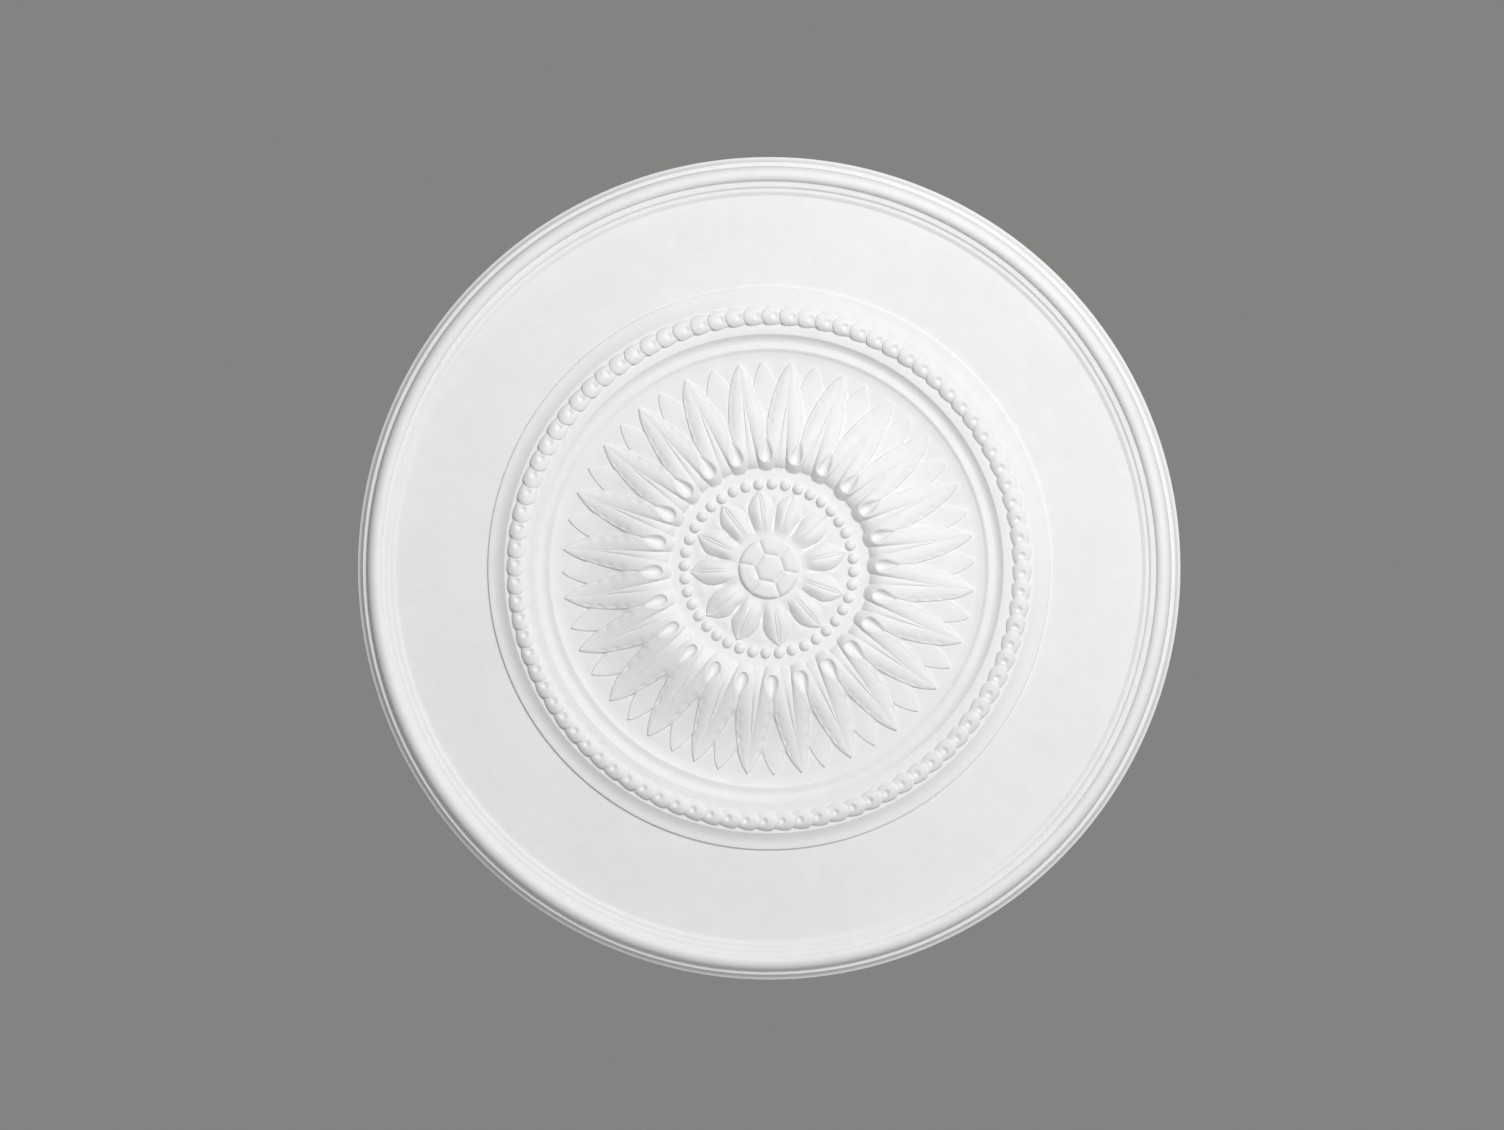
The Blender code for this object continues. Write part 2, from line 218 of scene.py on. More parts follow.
def coinZone():
    # coins laid like scales on a half-round bar: each one is H (1 - (v / W)^2)^fullness across the band, and
    # along it rises by 1 - (1 - u / reach)^2 from the coin before it to its own free edge, a step on the
    # ellipse (t / a)^2 + (v / R)^2 = 1. The bar's half width W narrows to notches between the coins, and
    # each coin has a round pit (1 - (d / pitRadius)^2)^1.3 close to its covered end
    big, free = coins["radius"], coins["freeReach"]
    count = round(2.0 * math.pi * coinCentre / coins["pitch"])
    pitch = 2.0 * math.pi * coinCentre / count
    share = np.array([0.98, 0.92, 0.8, 0.64, 0.46, 0.3, 0.15])
    share = np.concatenate([[1.0], share, [0.0], -share[::-1], [-1.0]])[:, None]
    pitAt = coins["pitPlace"]
    stepAt = pitch - coins["stepWidth"]
    u = np.concatenate([
        [0.0, 0.4], pitAt + np.array([-2.8, -1.9, -0.9, 0.0, 0.9, 1.9, 2.8]),
        pitch * np.array([0.5, 0.62, 0.75, 0.87]),
        [stepAt, stepAt]])[None, :]  # twice, which keeps the edge of the step hard
    t = free * np.sqrt(1.0 - np.minimum(np.abs(share), 0.98) ** 2) - pitch + u
    notch = np.clip(-t / (pitch - coins["notchShare"] * free), 0.0, 1.0) ** 2
    half = big - coins["edgeGap"] - coins["notchDepth"] * notch
    v = np.where(np.abs(share) < 1.0, share / 0.98 * half, share * big)
    across = np.clip(1.0 - (v / half) ** 2, 0.0, 1.0) ** coins["fullness"]
    rise = coins["coverDrop"] * np.clip(1.0 - u / coins["riseReach"], 0.0, 1.0) ** 2
    corner = coins["corner"] * np.clip((u - pitch + coins["cornerStart"]) / coins["cornerWidth"], 0.0, 1.0) ** 2
    distance = np.hypot(u - pitAt, v)
    pit = coins["pitDepth"] * np.clip(1.0 - (distance / coins["pitRadius"]) ** 2, 0.0, 1.0) ** 1.3
    height = coins["height"] * across * (1.0 - rise - corner) - pit
    height[0] = height[-1] = 0.0
    angles = repeated(np.degrees(t / coinCentre), count, coins["turn"])
    scale = 1.0 + coins["sizeUneven"] * np.repeat(unevenness(count, 3), t.shape[1])
    shift = coins["uneven"] * np.repeat(unevenness(count, 5), t.shape[1]) * (1.0 - share ** 2)
    radii = coinCentre + np.tile(v, (1, count)) + shift
    return gridZone(radii, angles, course + np.tile(height, (1, count)) * scale)


def leafHalf(r):
    # W (1 - q^1.6)^0.62, where q runs from 0 at the joint of two leaves to 1 at their tips
    q = np.clip((r - leafInner - leaves["jointLength"]) / (leaves["length"] - leaves["jointLength"]), 0.0, 1.0)
    return leaves["halfWidth"] * (1.0 - q ** 1.6) ** 0.62


def eyeHalf(r):
    # half width of the drop-shaped eye: sqrt(s) (1 - s)^1.2, widest near its inner end
    s = np.clip((r - leafInner - leaves["eyeStart"]) / leaves["eyeLength"], 0.0, 1.0)
    return leaves["eyeHalf"] * np.sqrt(s) * (1.0 - s) ** 1.2 / 0.357


def leafCrest(r):
    # up the nose as 1 - (1 - t)^3.4, then half a cosine down to the tip
    nose = leafInner + leaves["noseLength"]
    tipHeight = drum["dishHeight"] + leaves["tipThickness"]
    up = 1.0 - (1.0 - np.clip((r - leafInner) / leaves["noseLength"], 0.0, 1.0)) ** 3.4
    s = np.clip((r - nose) / (leafTip - nose), 0.0, 1.0)
    down = 0.5 * (1.0 + np.cos(np.pi * s ** 0.8))
    rising = hub["height"] + (leaves["crestHeight"] - hub["height"]) * up
    falling = tipHeight + (leaves["crestHeight"] - tipHeight) * down
    return np.where(r < nose, rising, falling)


def leafHeight(r, x, edge, halfPitch):
    # x is the distance from the leaf's axis, edge the half width of the large leaf at r. The large leaf is
    # the crest less a valley at its stem, with flanks 1 - (1 - u)^2.2, a half-round rib along the stem, a
    # lip round the eye and dents along the edge. Between two leaves lie the eye, a slit and a small leaf
    joint = leafInner + leaves["jointLength"]
    e = halfPitch - x  # distance from the axis of the eye
    reach = (r - leafInner) / leaves["jointLength"]
    q = np.clip((r - joint) / (leafTip - joint), 0.0, 1.0)
    rounded = np.minimum(leaves["noseRound"] * (e / 7.3) ** 2, 5.0) * (1.0 - smooth(0.15, 0.55, reach))
    crest = leafCrest(r)
    nose = leafCrest(r - rounded)
    # stem: a narrow flat valley between two rounded flanks, with a groove along each side of it
    stemShare = np.clip(1.0 - (r - leafInner) / leaves["stemLength"], 0.0, 1.0)
    stem = leaves["stemWidth"] * stemShare ** 1.1
    flank = np.minimum(leaves["flankWidth"] + 2.6 * smooth(0.3, 1.4, reach), np.maximum(edge - stem - 0.6, 0.5))
    depth = leaves["stemDepth"] * np.maximum(1.0 - 0.62 * reach, 0.0) ** 1.7
    depth = np.minimum(depth, np.maximum(crest - hub["height"], 0.0))
    up = np.clip((x - stem) / flank, 0.0, 1.0)
    soft = smooth(0.4, 1.1, reach)
    shoulder = (1.0 - soft) * (1.0 - (1.0 - up) ** 2.2) + soft * smooth(0.0, 1.0, up)
    body = crest - depth + (nose - crest + depth) * shoulder
    groove = leaves["stemGroove"] * bump(x - stem - 0.2, 0.55) * smooth(0.0, 0.1, reach)
    groove = groove * smooth(0.0, 0.12, stemShare)
    ridge = leaves["stemRise"] * np.sqrt(np.clip(1.0 - (x / np.maximum(stem, 0.5)) ** 2, 0.0, 1.0))
    ridge = ridge * smooth(0.0, 0.12, reach) * smooth(0.0, 0.35, stemShare)
    across = np.clip((x - stem) / np.maximum(edge - stem, 0.5), 0.0, 1.0)
    blade = leaves["cushion"] * np.sin(np.pi * across) * smooth(0.5, 1.1, reach) * (1.0 - 0.7 * q)
    sag = leaves["edgeSag"] * across ** 2 * smooth(0.6, 1.3, reach) * (1.0 - 0.5 * q)
    eye = eyeHalf(r)
    eyeInner = leafInner + leaves["eyeStart"]
    away = np.where(r < eyeInner, np.hypot(eyeInner - r, e), edge - x)
    lip = leaves["lipRise"] * bump(away - 1.5, 1.2) * (1.0 - smooth(0.6, 0.85, reach)) * smooth(0.0, 0.12, reach)
    along = (r - leafInner - leaves["dentStart"]) / leaves["dentPitch"]
    dent = leaves["dentDepth"] * bump(edge - x - 1.6, 1.0) * np.clip(np.cos(2.0 * np.pi * along), 0.0, 1.0) ** 3
    dent = dent * smooth(0.75, 0.9, reach) * (1.0 - smooth(0.6, 0.8, q))
    large = body - groove + ridge + blade - sag + lip - dent
    # eye: a scooped hollow, deepest near its round end, running out into the slit between two leaves
    s = np.clip((r - leafInner - leaves["eyeStart"]) / leaves["eyeLength"], 0.0, 1.0)
    scoop = np.sqrt(np.maximum(1.0 - (e / np.maximum(eye, 0.3)) ** 2, 0.0))
    deep = leaves["eyeDepth"] * np.sqrt(1.0 - (1.0 - np.clip(s / 0.35, 0.0, 1.0)) ** 2)
    deep = deep * (1.0 - 0.64 * smooth(0.3, 1.0, s))
    hollow = crest - deep * (0.3 + 0.7 * scoop)
    slit = crest - leaves["slitDepth"] * smooth(0.3, 0.5, reach)
    low = np.where(r < leafInner + leaves["eyeStart"], large, np.where(s < 1.0, hollow, slit))
    # small leaf between two large ones, with a fine line along its middle
    smallHalf = leafHalf(r)
    drop = leaves["smallDrop"] * smooth(0.0, 0.12, q) * (1.0 - 0.85 * q)
    small = crest - leaves["slitDepth"] * (1.0 - q) - drop + 0.2 * q
    small = small - 0.5 * (e / np.maximum(smallHalf, 2.0)) ** 2 - 0.3 * bump(e, 0.6) * (1.0 - q)
    low = np.where(r > joint, small, low)
    ground = drum["dishHeight"]
    bare = (r > joint) & (e > smallHalf - 0.4 * leaves["edgeDraft"]) & (x > edge + 0.3)
    low = np.where(bare, ground, low)
    height = np.where(x <= edge + 1e-6, large, low)
    height = np.where(r >= leafTip, ground, height)
    return np.where(r <= leafInner, hub["height"], np.maximum(height, ground))


def leafZone():
    # columns follow the stem, the edge of the large leaf and the edge of the small leaf, as shares of the
    # widths there. The heights are leafHeight, mirrored about the eye's axis
    count = leaves["count"]
    joint = leafInner + leaves["jointLength"]
    eyeShare = leaves["eyeStart"] / leaves["length"]
    s = np.concatenate([
        [1.004, 1.0], 1.0 - 0.11 * np.linspace(0.08, 1.0, 6) ** 1.4,
        np.linspace(0.868, 0.46, 15), np.linspace(0.44, 0.24, 8), np.linspace(0.223, 0.127, 7),
        eyeShare + np.array([0.029, 0.017, 0.008, 0.002]), eyeShare * np.array([0.97, 0.85]),
        np.linspace(0.061, 0.0, 7), [-0.012]])
    r = (leafInner + s * leaves["length"])[:, None]
    halfPitch = np.pi * r / count
    eye = eyeHalf(r)
    half = leafHalf(r)
    edge = np.where(r < joint, halfPitch - leaves["gap"] - eye, np.minimum(half, halfPitch - leaves["gap"]))
    draft = np.minimum(leaves["edgeDraft"], 0.7 * edge)
    edge = np.maximum(edge - draft, 0.05)
    stem = leaves["stemWidth"] * np.clip(1.0 - (r - leafInner) / leaves["stemLength"], 0.0, 1.0) ** 1.1
    stem = np.minimum(stem + 0.2, 0.5 * edge)
    foot = np.minimum(edge + draft, halfPitch - 0.2)
    smallEdge = np.clip(halfPitch - leafHalf(r), foot + 0.02, halfPitch - 0.12)
    top = smallEdge + np.minimum(leaves["edgeDraft"], 0.5 * (halfPitch - smallEdge))
    zero = 0.0 * r
    inside = [zero, 0.5 * stem, 0.85 * stem, stem]
    inside += [stem + np.minimum(k, 0.17 * k * (edge - stem)) for k in (0.6, 1.3, 2.2, 3.2)]
    rest = edge - inside[-1]
    inside += [inside[-1] + k * rest for k in (0.3, 0.56, 0.76, 0.9)]
    outside = [edge, foot, smallEdge, top, top + 0.4 * (halfPitch - top), top + 0.75 * (halfPitch - top)]
    x = np.concatenate(inside + outside, axis=1)
    x = np.maximum.accumulate(x, axis=1)
    height = leafHeight(r, x, edge, halfPitch)
    middle = leafHeight(r, halfPitch, edge, halfPitch)
    turn = np.degrees(1.0 / r)
    offsets = np.concatenate([x * turn, halfPitch * turn, (2.0 * halfPitch - x[:, :0:-1]) * turn], axis=1)
    heights = np.concatenate([height, middle, height[:, :0:-1]], axis=1)
    angles = repeated(offsets, count, leaves["turn"])
    # hand-laid unevenness: each tip sways a little, the large ones and the small ones on their own
    perLeaf, halfTurn = offsets.shape[1], 180.0 / count
    q = np.clip((r - joint) / (leafTip - joint), 0.0, 1.0)
    away = np.clip(np.minimum(offsets, 2.0 * halfTurn - offsets) / halfTurn, 0.0, 1.0)
    weight = np.tile(smooth(0.0, 1.0, away), (1, count))
    large = unevenness(count, 11)
    ownLarge, nextLarge = np.repeat(large, perLeaf), np.repeat(np.roll(large, -1), perLeaf)
    largeSway = np.where(np.tile(offsets <= halfTurn, (1, count)), ownLarge, nextLarge)
    smallSway = np.repeat(unevenness(count, 12), perLeaf)
    angles = angles + leaves["sway"] * q ** 1.5 * ((1.0 - weight) * largeSway + weight * smallSway)
    heights = np.tile(heights, (1, count))
    return gridZone(np.repeat(r, angles.shape[1], axis=1), angles, heights)


def pearlZone():
    # round caps H sqrt(1 - (t^2 + v^2) / R^2) on the flat hub, with columns along their circles
    big = hub["pearlRadius"]
    count = round(2.0 * math.pi * pearlCentre / hub["pearlPitch"])
    across = np.array([1.0, 0.96, 0.82, 0.55, 0.2, -0.2, -0.55, -0.82, -0.96, -1.0]) * big
    reach = np.sqrt(np.maximum(big ** 2 - across ** 2, (0.12 * big) ** 2))[:, None]
    half = (np.pi * (pearlCentre + across) / count)[:, None]
    share = np.array([-1.0, -0.95, -0.78, -0.42, 0.0, 0.42, 0.78, 0.95, 1.0])[None, :]
    t = np.concatenate([reach * share, half + 0.25 * (half - reach), half + 0.5 * (half - reach)], axis=1)
    v = across[:, None]
    height = hub["pearlHeight"] * np.sqrt(np.maximum(1.0 - (t ** 2 + v ** 2) / big ** 2, 0.0))
    height = np.where(np.abs(v) >= big, 0.0, height)
    angles = repeated(np.degrees(t / (pearlCentre + v)), count, hub["pearlTurn"])
    shift = hub["pearlUneven"] * np.repeat(unevenness(count, 21), t.shape[1])[None, :]
    grow = 1.0 + 0.06 * np.repeat(unevenness(count, 22), t.shape[1])[None, :]
    radii = pearlCentre + v + shift * np.sqrt(np.maximum(1.0 - (v / big) ** 2, 0.0))
    return gridZone(radii, angles, hub["height"] + np.tile(height, (1, count)) * grow)


def petalHalf(s):
    # half width of a petal, W sin(pi (0.16 + 0.52 s)) (1 - s^5), from its base at s = 0 to its tip at s = 1
    blunt = 1.0 - np.clip(s, 0.0, 1.0) ** 5
    return flower["halfWidth"] * np.sin(np.pi * np.clip(0.16 + 0.52 * s, 0.0, 1.0)) * blunt


def flowerZone():
    # petals: the ridge climbs from the moat to a crest and falls as half a cosine to the tip, and falls
    # across as 1 - 0.62 a^2.6 on each side of a folded middle line
    s = np.concatenate([
        [1.02, 1.0], 1.0 - 0.14 * np.linspace(0.06, 1.0, 7) ** 1.3, np.linspace(0.83, 0.0, 17)])[:, None]
    r = petalBase + s * flower["length"]
    tips = np.array(flower["tipAngles"])
    after = np.roll(tips, -1)
    after[-1] += 360.0
    halfGap = 0.5 * (after - tips)[None, :, None]
    turn = np.degrees(1.0 / r)[:, :, None]
    width = petalHalf(s)[:, :, None]
    edge = np.minimum(width, 0.84 * halfGap / turn)
    edge = np.maximum(edge, 0.15)
    draft = np.minimum(flower["edgeDraft"], 0.5 * (halfGap / turn - edge))
    middle = halfGap / turn
    share = np.array([0.0, 0.05, 0.1, 0.17, 0.3, 0.45, 0.6, 0.72, 0.84, 0.93, 1.0])[None, None, :]
    inside = edge * share
    outside = np.concatenate([edge + draft, edge + draft + 0.5 * (middle - edge - draft)], axis=2)
    x = np.concatenate([inside, outside], axis=2)
    crestPlace, moat, tip = flower["crestPlace"], flower["moatRise"], flower["tipThickness"]
    climb = moat + (flower["rise"] - moat) * (1.0 - np.clip(1.0 - s / crestPlace, 0.0, 1.0) ** 1.35)
    fallen = np.clip((s - crestPlace) / (1.08 - crestPlace), 0.0, 1.0) ** 1.15
    fall = tip + (flower["rise"] - tip) * (0.5 + 0.5 * np.cos(np.pi * fallen))
    ground = moat * (1.0 - smooth(-0.06, 0.36, s))
    lift = (np.where(s < crestPlace, climb, fall) - ground)[:, :, None]
    base = (hub["height"] + ground)[:, :, None]

    def petalHeight(x):
        a = np.clip(x / edge, 0.0, 1.0)
        along = smooth(0.0, 0.25, s)[:, :, None] * (1.0 - smooth(0.9, 1.0, s)[:, :, None])
        fold = flower["foldDepth"] * bump(a, 0.22) - flower["ribRise"] * bump(a, 0.055) + 0.3 * bump(a - 0.11, 0.04)
        petal = base + lift * (1.0 - 0.62 * a ** 2.6) - fold * along
        sepal = flower["sepalRise"] * smooth(0.25, 0.5, s)[:, :, None]
        sepal = sepal * (1.0 - smooth(0.78, 0.98, s)[:, :, None])
        beside = (x - edge) / np.maximum(middle - edge, 0.2)
        return np.where(x <= edge + 1e-9, petal, base + sepal * smooth(0.0, 1.0, beside))

    height = petalHeight(x)
    centre = petalHeight(middle)
    height = np.where(s[:, :, None] >= 1.0, hub["height"], height)
    centre = np.where(s[:, :, None] >= 1.0, hub["height"], centre)
    first = tips[None, :, None]
    places = np.concatenate([x, middle, 2.0 * middle - x[:, :, :0:-1]], axis=2)
    angles = first + places * turn
    heights = np.concatenate([height, centre, height[:, :, :0:-1]], axis=2)
    rows = s.shape[0]
    angles = angles.reshape(rows, -1)
    return gridZone(np.repeat(r, angles.shape[1], axis=1), angles, heights.reshape(rows, -1))


def bossZone():
    # a quarter-round side and a top 1 - s^2, less bell-shaped grooves exp(-(d / w)^2) that part a
    # six-sided panel in the middle and six panels round it
    columns = boss["columns"]
    angle = np.arange(columns) * 360.0 / columns + boss["hexTurn"]
    past = np.mod(angle - boss["hexTurn"], 60.0)
    hexEdge = boss["hexRadius"] * math.cos(math.radians(30.0)) / np.cos(np.radians(past - 30.0))
    big = boss["radius"]
    outer = np.array([1.0, 0.996, 0.983, 0.962, 0.935, 0.90, 0.86, 0.80, 0.74, 0.68, 0.62]) * big
    wide = boss["grooveWidth"]
    offsets = np.array([1.6 * wide, 0.8 * wide, 0.0, -0.8 * wide, -1.6 * wide])
    outerRows = np.repeat(outer[:, None], columns, axis=1)
    hexRows = hexEdge[None, :] + offsets[:, None]
    innerRows = (hexEdge[None, :] - 1.6 * wide) * np.array([0.8, 0.55, 0.3, 0.12])[:, None]
    r = np.vstack([outerRows, hexRows, innerRows])
    s = r / big
    side = np.sqrt(1.0 - (1.0 - np.clip((1.0 - s) / boss["rounding"], 0.0, 1.0)) ** 2)
    dome = flower["moatRise"] + (boss["edgeRise"] - flower["moatRise"]) * side
    dome = dome + (boss["rise"] - boss["edgeRise"]) * (1.0 - s ** 2)
    apart = np.radians(np.minimum(past, 60.0 - past))[None, :] * r
    outside = smooth(-0.5, 0.5, r - hexEdge[None, :])
    edgeFade = 1.0 - smooth(boss["panelRadius"], big, r)
    groove = np.maximum(bump(r - hexEdge[None, :], wide), bump(apart, wide) * outside)
    pillow = np.maximum(bump(r - hexEdge[None, :], 2.6 * wide), bump(apart, 2.6 * wide) * outside)
    cut = boss["grooveDepth"] * groove + boss["pillow"] * pillow
    height = hub["height"] + dome - cut * (0.25 + 0.75 * edgeFade)
    height[0] = hub["height"] + flower["moatRise"]
    return gridZone(r, np.repeat(angle[None, :], r.shape[0], axis=0), height)


def seamFaces(outerAngle, outerIndex, innerAngle, innerIndex):
    # triangles between two closed rows: the next corner is always the one with the smaller angle
    start = outerAngle[0]
    outerAngle = outerAngle - start
    turned = np.mod(innerAngle - start, 360.0)
    order = np.argsort(turned, kind="stable")
    innerAngle, innerIndex = turned[order], innerIndex[order]
    outerNext = np.append(outerAngle[1:], 360.0)
    innerNext = np.append(innerAngle[1:], 360.0 + innerAngle[0])
    outerLoop, innerLoop = np.append(outerIndex, outerIndex[0]), np.append(innerIndex, innerIndex[0])
    steps = np.argsort(np.concatenate([outerNext, innerNext]), kind="stable")
    onOuter = steps < len(outerIndex)
    i = np.cumsum(onOuter) - onOuter
    j = np.cumsum(~onOuter) - ~onOuter
    outerThird = outerLoop[np.minimum(i + 1, len(outerIndex))]
    innerThird = innerLoop[np.minimum(j + 1, len(innerIndex))]
    third = np.where(onOuter, outerThird, innerThird)
    return np.column_stack([outerLoop[i], third, innerLoop[j]])


def buildRose():
    # the rings from the outside to the middle, seams between them, a fan to the crown and one flat face
    # for the back
    zones = [
        ringZone(rimProfile(), rim["columns"]), ringZone(drumProfile(), drum["columns"]), coinZone(),
        ringZone(innerProfile(), drum["columns"]), leafZone(), pearlZone(), flowerZone(), bossZone()]
    points, faces, lines, first = [], [], [], 0
    for zone in zones:
        turn = np.radians(zone["angle"])
        points.append(np.column_stack([
            zone["radius"] * np.cos(turn), -zone["height"], zone["radius"] * np.sin(turn)]))
        faces += (zone["quads"] + first).tolist()
        lines.append([(zone["angle"][zone[end]], zone[end] + first) for end in ("outer", "inner")])
        first += len(turn)
    for (_, above), (below, _) in zip(lines, lines[1:]):
        faces += seamFaces(*above, *below).tolist()
    points.append(np.array([[0.0, -(hub["height"] + boss["rise"]), 0.0]]))
    last = lines[-1][1][1]
    faces += np.column_stack([last, np.roll(last, -1), np.full(len(last), first)]).tolist()
    faces.append(lines[0][0][1][::-1].tolist())
    mesh = bpy.data.meshes.new("roseCasting")
    mesh.from_pydata((np.concatenate(points) * 0.001).tolist(), [], faces)
    mesh.validate()
    mesh.update()
    mesh.shade_smooth()
    mesh.set_sharp_from_angle(angle=math.radians(38.0))
    piece = bpy.data.objects.new("roseCasting", mesh)
    bpy.context.scene.collection.objects.link(piece)
    return piece


plaster = {
    # the third colour on the next line, darker and warm, is painted shade for the hollows
    "light": (0.875, 0.875, 0.875), "shade": (0.842, 0.842, 0.842), "hollowShade": (0.800, 0.797, 0.790),
    # edge is a lighter colour painted on the edges as a highlight
    "edge": (0.905, 0.905, 0.905),
    "cloudScale": 9.0, "mottleScale": 70.0, "grainScale": 620.0, "waveScale": 95.0, "pitScale": 240.0,
    "grainDepth": 0.00006, "waveDepth": 0.00016, "pitDepth": 0.00012, "pitShare": 0.05,
    "hollowShadeShare": 0.4, "edgeHighlightShare": 0.4, "reach": 0.003, "fullHollow": 0.0009, "roughLow": 0.58, "roughHigh": 0.74,
}


def markHollows(mesh):
    # how far each point lies below the mean of its neighbours, spread a little: 0.5 is flat ground,
    # less is an edge and more is a hollow
    count = len(mesh.vertices)
    place = np.empty(3 * count)
    mesh.vertices.foreach_get("co", place)
    place = place.reshape(-1, 3)
    pairs = np.empty(2 * len(mesh.edges), int)
    mesh.edges.foreach_get("vertices", pairs)
    a, b = pairs.reshape(-1, 2).T
    length = np.linalg.norm(place[a] - place[b], axis=1) + 1e-6
    weight = np.where(length < plaster["reach"], 1.0 / length, 0.0)
    total = np.bincount(a, weight, count) + np.bincount(b, weight, count) + 1e-9

    def spread(value):
        return (np.bincount(a, weight * value[b], count) + np.bincount(b, weight * value[a], count)) / total

    rise = -place[:, 1]
    hollow = spread(rise) - rise
    for _ in range(3):
        hollow = 0.5 * hollow + 0.5 * spread(hollow)
    layer = mesh.attributes.new("hollow", "FLOAT", "POINT")
    layer.data.foreach_set("value", np.clip(0.5 + hollow / plaster["fullHollow"], 0.0, 1.0).astype(np.float32))


def plasterMaterial():
    # white cast plaster: clouds and mottling in the tone, painted shade in the hollows, a painted highlight on the
    # edges, which are also made smoother, fine grain
    material = bpy.data.materials.new("whitePlaster")
    material.use_nodes = True
    nodes, links = material.node_tree.nodes, material.node_tree.links
    shader = nodes["Principled BSDF"]
    place = nodes.new("ShaderNodeTexCoord").outputs["Object"]

    def noise(scale, detail, rough):
        node = nodes.new("ShaderNodeTexNoise")
        node.inputs["Scale"].default_value = scale
        node.inputs["Detail"].default_value = detail
        node.inputs["Roughness"].default_value = rough
        links.new(place, node.inputs["Vector"])
        return node.outputs["Fac"]

    def fitted(value, low, high, start=0.0, end=1.0):
        node = nodes.new("ShaderNodeMapRange")
        for name, number in (("From Min", low), ("From Max", high), ("To Min", start), ("To Max", end)):
            node.inputs[name].default_value = number
        links.new(value, node.inputs["Value"])
        return node.outputs["Result"]

    def calculated(operation, first, second):
        node = nodes.new("ShaderNodeMath")
        node.operation = operation
        for socket, value in zip(node.inputs, (first, second)):
            if isinstance(value, float):
                socket.default_value = value
            else:
                links.new(value, socket)
        return node.outputs[0]

    def mixed(share, first, second):
        node = nodes.new("ShaderNodeMix")
        node.data_type = "RGBA"
        links.new(share, node.inputs["Factor"])
        for socket, value in ((node.inputs[6], first), (node.inputs[7], second)):
            if isinstance(value, tuple):
                socket.default_value = (*value, 1.0)
            else:
                links.new(value, socket)
        return node.outputs[2]

    hollow = nodes.new("ShaderNodeAttribute")
    hollow.attribute_name = "hollow"
    cloud = noise(plaster["cloudScale"], 4.0, 0.55)
    mottle = noise(plaster["mottleScale"], 5.0, 0.6)
    grain = noise(plaster["grainScale"], 3.0, 0.6)
    wave = noise(plaster["waveScale"], 2.0, 0.5)
    tone = mixed(fitted(calculated("ADD", cloud, mottle), 0.75, 1.25), plaster["shade"], plaster["light"])
    # painted shade: the hollows are darkened towards the darker warm colour, a little unevenly with the mottling
    paintedShade = fitted(hollow.outputs["Fac"], 0.55, 0.95, 0.0, plaster["hollowShadeShare"])
    paintedShade = calculated("MULTIPLY", paintedShade, fitted(mottle, 0.3, 0.7, 0.5, 1.0))
    # painted highlight: the edges are lightened towards the lighter edge colour, and the same mask makes them a
    # little smoother
    rubbedAndHighlit = fitted(hollow.outputs["Fac"], 0.45, 0.1, 0.0, plaster["edgeHighlightShare"])
    rubbedAndHighlit = calculated("MULTIPLY", rubbedAndHighlit, fitted(cloud, 0.35, 0.65))
    tone = mixed(rubbedAndHighlit, mixed(paintedShade, tone, plaster["hollowShade"]), plaster["edge"])
    links.new(tone, shader.inputs["Base Color"])
    rough = fitted(calculated("ADD", mottle, rubbedAndHighlit), 0.3, 0.9, plaster["roughHigh"], plaster["roughLow"])
    links.new(rough, shader.inputs["Roughness"])
    cell = nodes.new("ShaderNodeTexVoronoi")
    cell.inputs["Scale"].default_value = plaster["pitScale"]
    links.new(place, cell.inputs["Vector"])
    split = nodes.new("ShaderNodeSeparateColor")
    links.new(cell.outputs["Color"], split.inputs["Color"])
    chosen = calculated("LESS_THAN", split.outputs[0], plaster["pitShare"])
    pits = calculated("MULTIPLY", fitted(cell.outputs["Distance"], 0.05, 0.28, 1.0, 0.0), chosen)
    height = calculated("MULTIPLY", grain, plaster["grainDepth"])
    height = calculated("ADD", height, calculated("MULTIPLY", wave, plaster["waveDepth"]))
    height = calculated("SUBTRACT", height, calculated("MULTIPLY", pits, plaster["pitDepth"]))
    bumps = nodes.new("ShaderNodeBump")
    bumps.inputs["Strength"].default_value = 1.0
    bumps.inputs["Distance"].default_value = 1.0
    links.new(height, bumps.inputs["Height"])
    links.new(bumps.outputs["Normal"], shader.inputs["Normal"])
    return material


rose = buildRose()
print("rose casting:", sum(face.loop_total - 2 for face in rose.data.polygons), "triangles")
markHollows(rose.data)
rose.data.materials.append(plasterMaterial())
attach(rose, "root")
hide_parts("ceiling_rose")

# the studio is in metres, and the camera's place beside the axis in pixels of the photo
studio = {
    "cameraDistance": 5.0, "pixel": 0.00085158, "imageWidth": 1504.0, "shiftX": -17.13, "shiftZ": 3.34,
    "lightDistance": 3.0, "lightTilt": 31.0, "lightTurn": 54.0, "lightSize": 1.2, "lightPower": 69.5,
    "fill": 0.19, "backdrop": (0.2307, 0.2270, 0.2195),
    "floorSize": 8.0, "floorDrop": 0.62, "floorAhead": 0.9, "floorColour": (0.55, 0.55, 0.54), "floorRough": 0.8,
}


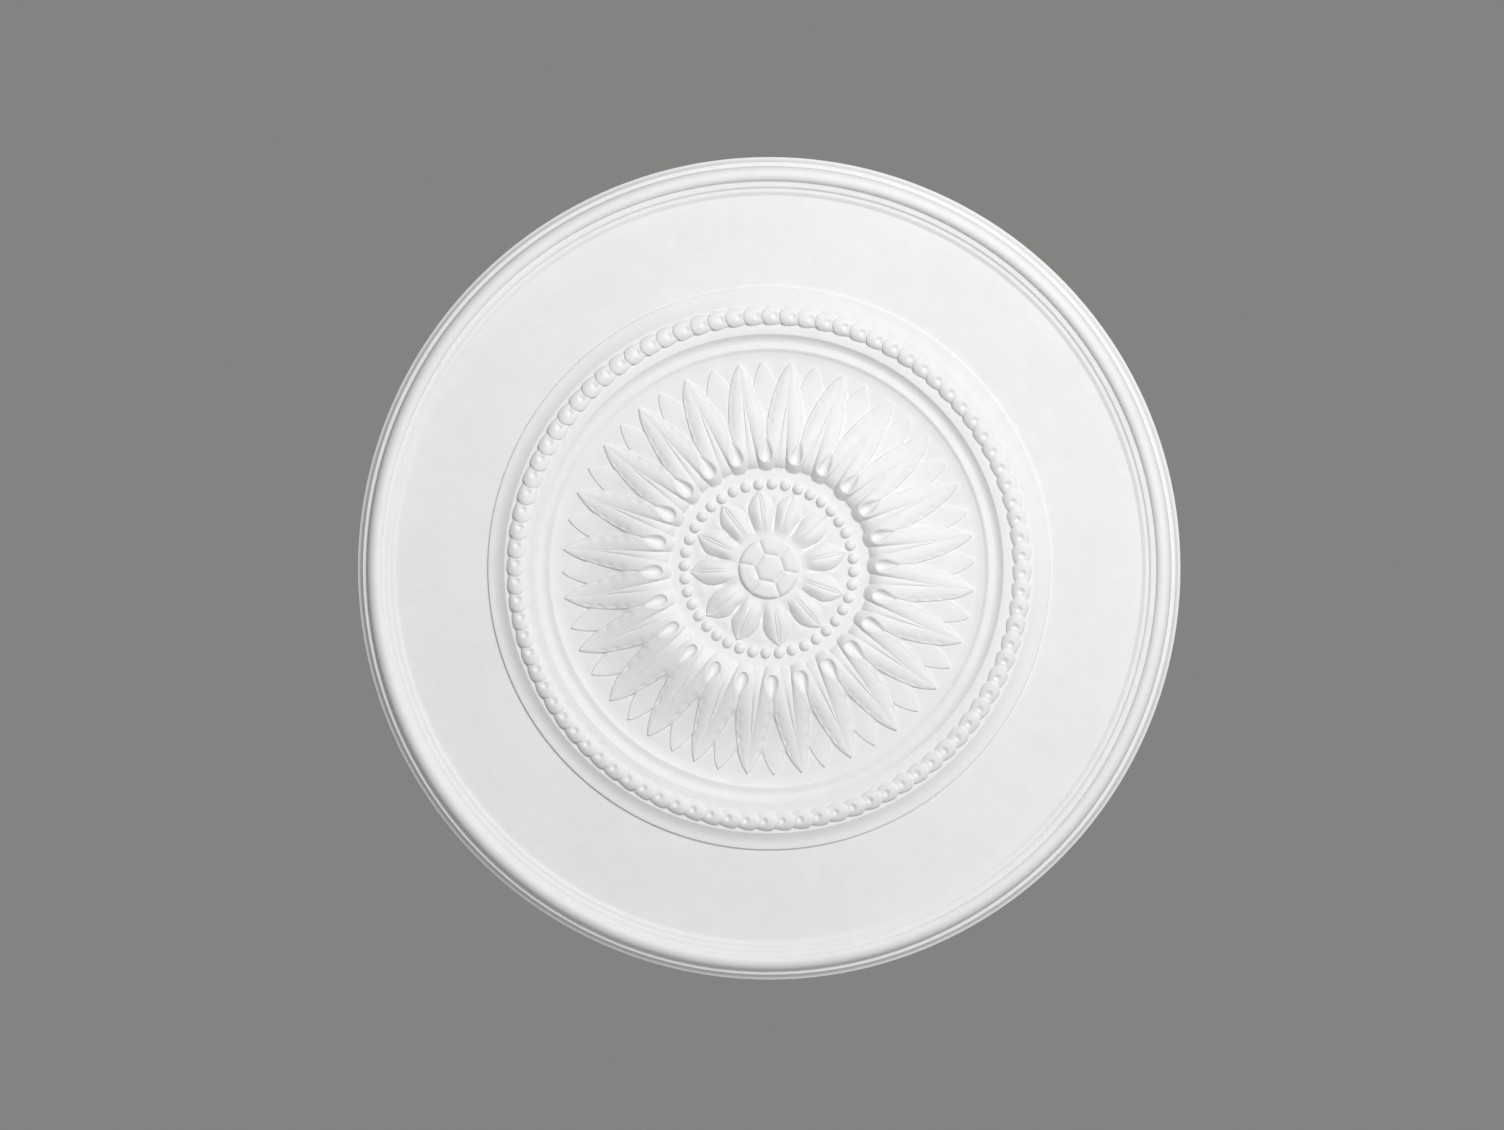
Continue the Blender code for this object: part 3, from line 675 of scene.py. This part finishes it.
def buildStudio():
    # an even room, one large round lamp in front above right, a pale floor and the photo's camera
    world = bpy.data.worlds.new("softRoom")
    bpy.context.scene.world = world
    world.use_nodes = True
    nodes, links = world.node_tree.nodes, world.node_tree.links
    nodes.clear()
    path = nodes.new("ShaderNodeLightPath")
    seen = nodes.new("ShaderNodeBackground")
    fill = nodes.new("ShaderNodeBackground")
    mix = nodes.new("ShaderNodeMixShader")
    out = nodes.new("ShaderNodeOutputWorld")
    seen.inputs["Color"].default_value = (*studio["backdrop"], 1.0)
    fill.inputs["Color"].default_value = (1.0, 1.0, 1.0, 1.0)
    fill.inputs["Strength"].default_value = studio["fill"]
    links.new(path.outputs["Is Camera Ray"], mix.inputs["Fac"])
    links.new(fill.outputs[0], mix.inputs[1])
    links.new(seen.outputs[0], mix.inputs[2])
    links.new(mix.outputs[0], out.inputs["Surface"])

    tilt, turn = math.radians(studio["lightTilt"]), math.radians(studio["lightTurn"])
    lamp = bpy.data.lights.new("bigSoftLight", "AREA")
    lamp.shape = "DISK"
    lamp.size = studio["lightSize"]
    lamp.energy = studio["lightPower"]
    light = bpy.data.objects.new("bigSoftLight", lamp)
    d = studio["lightDistance"]
    light.location = (
        d * math.sin(tilt) * math.cos(turn), -d * math.cos(tilt), d * math.sin(tilt) * math.sin(turn))
    light.rotation_mode = "QUATERNION"
    light.rotation_quaternion = light.location.to_track_quat("Z", "Y")
    bpy.context.scene.collection.objects.link(light)

    size, ahead, drop = 0.5 * studio["floorSize"], studio["floorAhead"], -studio["floorDrop"]
    floorMesh = bpy.data.meshes.new("paleFloor")
    floorMesh.from_pydata(
        [(-size, ahead - 2.0 * size, drop), (size, ahead - 2.0 * size, drop),
         (size, ahead, drop), (-size, ahead, drop)],
        [], [(0, 1, 2, 3)])
    floor = bpy.data.objects.new("paleFloor", floorMesh)
    bpy.context.scene.collection.objects.link(floor)
    paint = bpy.data.materials.new("paleFloor")
    paint.use_nodes = True
    shader = paint.node_tree.nodes["Principled BSDF"]
    shader.inputs["Base Color"].default_value = (*studio["floorColour"], 1.0)
    shader.inputs["Roughness"].default_value = studio["floorRough"]
    floorMesh.materials.append(paint)

    data = bpy.data.cameras.new("camera")
    data.sensor_width = 36.0
    data.lens = data.sensor_width * studio["cameraDistance"] / (studio["imageWidth"] * studio["pixel"])
    data.clip_start, data.clip_end = 0.1, 100.0
    camera = bpy.data.objects.new("camera", data)
    camera.location = (
        studio["shiftX"] * studio["pixel"], -studio["cameraDistance"], studio["shiftZ"] * studio["pixel"])
    camera.rotation_euler = (math.radians(90.0), 0.0, 0.0)
    bpy.context.scene.collection.objects.link(camera)
    bpy.context.scene.camera = camera
    bpy.context.scene.view_settings.view_transform = "Standard"


buildStudio()
print("studio ready")
